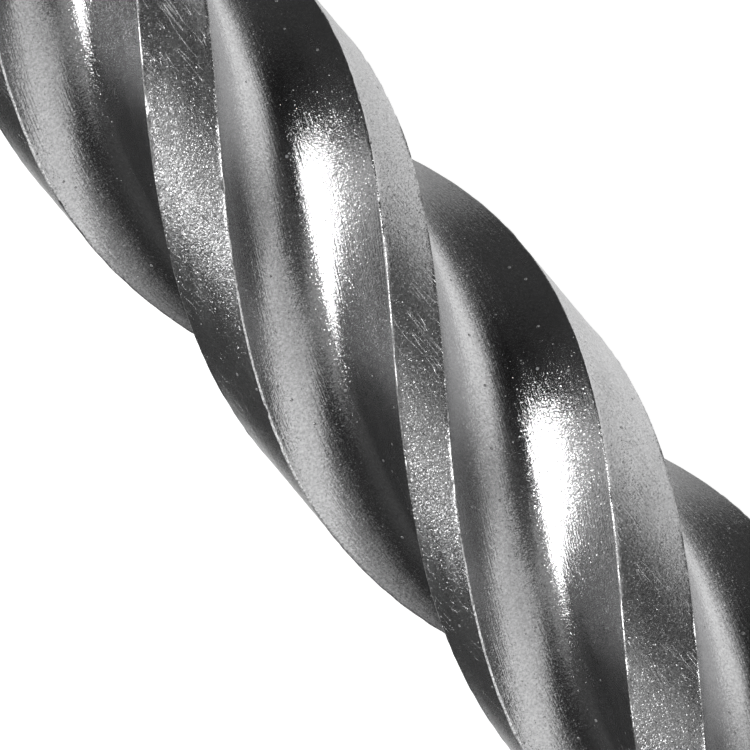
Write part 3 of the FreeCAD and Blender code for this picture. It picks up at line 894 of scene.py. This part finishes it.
class BIT_OT_add_plate(bpy.types.Operator):
    """The carbide plate, with its edges broken"""
    bl_idname = "bit.add_plate"
    bl_label = "Carbide Plate"

    def execute(self, context):
        bit = settings()
        plate = frame["nodes"]["carbide_plate"].copy()
        plate.data = plate.data.copy()
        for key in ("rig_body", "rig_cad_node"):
            if key in plate:
                del plate[key]
        plate.parent = None
        plate.name = plate.data.name = "carbide_plate_finished"
        context.scene.collection.objects.link(plate)
        tidy_mesh(plate, 0.001 * MM)
        activate(plate)
        rounding = plate.modifiers.new("edges", "BEVEL")
        rounding.limit_method = "ANGLE"
        rounding.angle_limit = math.radians(15)
        rounding.width = bit.head.edge_break
        rounding.segments = 2
        bpy.ops.object.modifier_apply(modifier=rounding.name)
        bpy.ops.object.shade_smooth_by_angle(angle=SHARP)
        dress(plate, ground_carbide(bit))
        adopt(plate, "carbide", "carbide_plate")
        return {"FINISHED"}


class BIT_OT_finish_braze(bpy.types.Operator):
    """The filler metal round the plate"""
    bl_idname = "bit.finish_braze"
    bl_label = "Braze Seam"

    def execute(self, context):
        dress(frame["nodes"]["braze_seam"], brazed_filler(settings()))
        return {"FINISHED"}


def view_axes(stage):
    """Right, up and back of the camera. The axis of the bit climbs to the picture's upper left."""
    lean, roll = stage.tilt, stage.roll
    back = Vector((-math.sin(lean), 0, math.cos(lean)))
    right = Vector((-math.cos(roll) * math.cos(lean), -math.sin(roll), -math.cos(roll) * math.sin(lean)))
    return right, back.cross(right), back


def add_camera(stage):
    """A long lens, near enough for the picture's slight perspective."""
    right, up, back = view_axes(stage)
    deselect()
    bpy.ops.object.camera_add()
    camera = bpy.context.object
    camera.name = "camera"
    centre = Vector((stage.aim_x, 0, 0)) - right * stage.aim_right - up * stage.aim_up
    camera.matrix_world = Matrix.Translation(centre + back * stage.distance) @ \
        Matrix((right, up, back)).transposed().to_4x4()
    camera.data.type = "PERSP"
    camera.data.sensor_fit = "HORIZONTAL"
    camera.data.lens = camera.data.sensor_width * stage.distance / stage.view_width
    camera.data.clip_start = stage.distance / 100
    camera.data.clip_end = 100
    bpy.context.scene.camera = camera


# Each softbox: its direction from the aim, as the angle from straight up towards +Y and the angle from that
# plane towards +X, its turn about that direction, in degrees, and its width and depth in metres. The width
# lies along +X before the turn.
SOFTBOXES = {
    "key": (36, 31, 20, 0.13, 0.42),
    "glow": (30, 2, 0, 0.2, 0.4),
    "end": (88, 52, 0, 0.36, 0.7),
    "fill": (-18, -46, 0, 0.5, 0.62),
}
SOFTBOX_DISTANCE = 0.45


def add_softbox(name, aim, across, along, turn, width, depth, power):
    """A rectangular lamp that faces the aim."""
    deselect()
    way = Vector((math.sin(along), math.cos(along) * math.sin(across), math.cos(along) * math.cos(across)))
    wide = Vector((math.cos(along), -math.sin(along) * math.sin(across), -math.sin(along) * math.cos(across)))
    bpy.ops.object.light_add(type="AREA")
    lamp = bpy.context.object
    lamp.name = name + "_softbox"
    lamp.matrix_world = Matrix.Translation(aim + way * SOFTBOX_DISTANCE) @ \
        Matrix((wide, way.cross(wide), way)).transposed().to_4x4() @ Matrix.Rotation(turn, 4, "Z")
    lamp.data.shape = "RECTANGLE"
    lamp.data.size = width
    lamp.data.size_y = depth
    lamp.data.energy = power
    lamp.visible_camera = False


# Height of a direction, -1 straight down and 1 straight up, and the tent's brightness there
TENT_STEPS = ((-1.0, 0.95), (-0.8, 1.12), (-0.3, 1.12), (0.1, 1.05), (0.36, 0.92), (0.52, 0.68), (0.66, 0.22),
              (0.8, 0.08))
# Dark sides of the tent: the axis that each lies on, where it begins and ends, and the brightness left there
DARK_SIDES = (("X", 0.0, 0.45, 0.34), ("X", -0.1, -0.4, 0.4), ("Y", 0.22, 0.66, 0.07))
# The point's end of the tent, the same way, and the heights between which that end fades in from below
POINT_END = (0.1, 0.5, 0.15)
POINT_END_HEIGHTS = (-0.7, -0.1)
# The shank end's glow: where it begins and ends, and its brightness
END_GLOW = (0.4, 0.9, 0.48)


class Tent:
    """Short calls for the nodes of the world."""

    def __init__(self, tree):
        self.tree = tree
        place = tree.nodes.new("ShaderNodeTexCoord")
        axis = tree.nodes.new("ShaderNodeSeparateXYZ")
        tree.links.new(place.outputs["Generated"], axis.inputs["Vector"])
        self.along = axis.outputs

    def eased(self, value, start, stop, first, last, curve="SMOOTHSTEP"):
        """A value mapped from one range to another and held within it."""
        side = self.tree.nodes.new("ShaderNodeMapRange")
        side.interpolation_type = curve
        for name, number in (("From Min", start), ("From Max", stop), ("To Min", first), ("To Max", last)):
            side.inputs[name].default_value = number
        self.tree.links.new(value, side.inputs["Value"])
        return side.outputs["Result"]

    def joined(self, operation, first, second):
        """A product or the like of two values."""
        node = self.tree.nodes.new("ShaderNodeMath")
        node.operation = operation
        self.tree.links.new(first, node.inputs[0])
        self.tree.links.new(second, node.inputs[1])
        return node.outputs["Value"]


def paint_world():
    """A white tent that is open overhead, with dark sides. The camera sees it as plain white."""
    world = bpy.data.worlds.new("tent")
    bpy.context.scene.world = world
    world.use_nodes = True
    tree = world.node_tree
    tree.nodes.clear()
    tent = Tent(tree)
    ramp = tree.nodes.new("ShaderNodeValToRGB")
    while len(ramp.color_ramp.elements) < len(TENT_STEPS):
        ramp.color_ramp.elements.new(0.5)
    for element, (height, value) in zip(ramp.color_ramp.elements, TENT_STEPS):
        element.position = (height + 1) / 2
        element.color = (value, value, value, 1)
    tree.links.new(tent.eased(tent.along["Z"], -1, 1, 0, 1, curve="LINEAR"), ramp.inputs["Fac"])
    bright = ramp.outputs["Color"]
    for name, start, stop, left in DARK_SIDES:
        bright = tent.joined("MULTIPLY", bright, tent.eased(tent.along[name], start, stop, 1, left))
    start, stop, left = POINT_END
    low, high = POINT_END_HEIGHTS
    level = tent.joined("MAXIMUM", tent.eased(tent.along["X"], start, stop, 1, left),
                        tent.eased(tent.along["Z"], low, high, 1, 0))
    bright = tent.joined("MULTIPLY", bright, level)
    start, stop, glow = END_GLOW
    bright = tent.joined("MAXIMUM", bright, tent.eased(tent.along["X"], -start, -stop, 0, glow))
    shown = tree.nodes.new("ShaderNodeBackground")
    shown.inputs["Color"].default_value = (1, 1, 1, 1)
    tree.links.new(bright, shown.inputs["Strength"])
    white = tree.nodes.new("ShaderNodeBackground")
    white.inputs["Color"].default_value = (1, 1, 1, 1)
    path = tree.nodes.new("ShaderNodeLightPath")
    mix = tree.nodes.new("ShaderNodeMixShader")
    out = tree.nodes.new("ShaderNodeOutputWorld")
    tree.links.new(path.outputs["Is Camera Ray"], mix.inputs["Fac"])
    tree.links.new(shown.outputs["Background"], mix.inputs[1])
    tree.links.new(white.outputs["Background"], mix.inputs[2])
    tree.links.new(mix.outputs["Shader"], out.inputs["Surface"])


# What the floor adds to its own lit colour for the camera
CAMERA_GLOW = 0.82
FLOOR_SIZE = 12


def pale_floor(stage):
    """A plain floor that the camera sees as white, with the bit's soft shadow."""
    nodes = Nodes("floor")
    nodes.surface.inputs["Base Color"].default_value = shade(stage.floor)
    nodes.surface.inputs["Roughness"].default_value = 0.9
    path = nodes.add("ShaderNodeLightPath")
    glow = nodes.math("MULTIPLY", path.outputs["Is Camera Ray"], CAMERA_GLOW)
    nodes.surface.inputs["Emission Color"].default_value = (1, 1, 1, 1)
    nodes.link(glow, nodes.surface.inputs["Emission Strength"])
    return nodes.material


class BIT_OT_add_stage(bpy.types.Operator):
    """The camera, the lamps, the tent and the floor"""
    bl_idname = "bit.add_stage"
    bl_label = "Stage"

    def execute(self, context):
        stage = settings().stage
        add_camera(stage)
        middle = (BODY_LOW.x + TIP_X) / 2
        aim = Vector((stage.aim_x, 0, 0))
        for name, (across, along, turn, width, depth) in SOFTBOXES.items():
            add_softbox(name, aim, math.radians(across), math.radians(along), math.radians(turn), width, depth,
                        getattr(stage, name + "_power"))
        paint_world()
        deselect()
        bpy.ops.mesh.primitive_plane_add(size=FLOOR_SIZE, location=(middle, 0, BODY_LOW.z))
        floor = name_new("floor")
        settle(floor)
        dress(floor, pale_floor(stage))
        floor.visible_glossy = False
        context.scene.view_settings.view_transform = "Standard"
        return {"FINISHED"}


class BIT_PT_panel(bpy.types.Panel):
    """Lists the pieces in the order they are made"""
    bl_label = "Drill Bit"
    bl_space_type = "VIEW_3D"
    bl_region_type = "UI"
    bl_category = "Drill Bit"

    def draw(self, context):
        for operator in OPERATORS:
            self.layout.operator(operator.bl_idname)


GROUPS = (SpiralSizes, ShankSizes, HeadSizes, FinishLook, StageLook, BitSettings)
OPERATORS = (BIT_OT_add_body, BIT_OT_add_plate, BIT_OT_finish_braze, BIT_OT_add_stage)


def register():
    for item in GROUPS + OPERATORS + (BIT_PT_panel,):
        bpy.utils.register_class(item)
    bpy.types.Scene.drill_bit = PointerProperty(type=BitSettings)


def unregister():
    del bpy.types.Scene.drill_bit
    for item in reversed(GROUPS + OPERATORS + (BIT_PT_panel,)):
        bpy.utils.unregister_class(item)


def main():
    register()
    bpy.ops.bit.add_body()
    bpy.ops.bit.add_plate()
    bpy.ops.bit.finish_braze()
    bpy.ops.bit.add_stage()


if __name__ == "__main__":
    main()
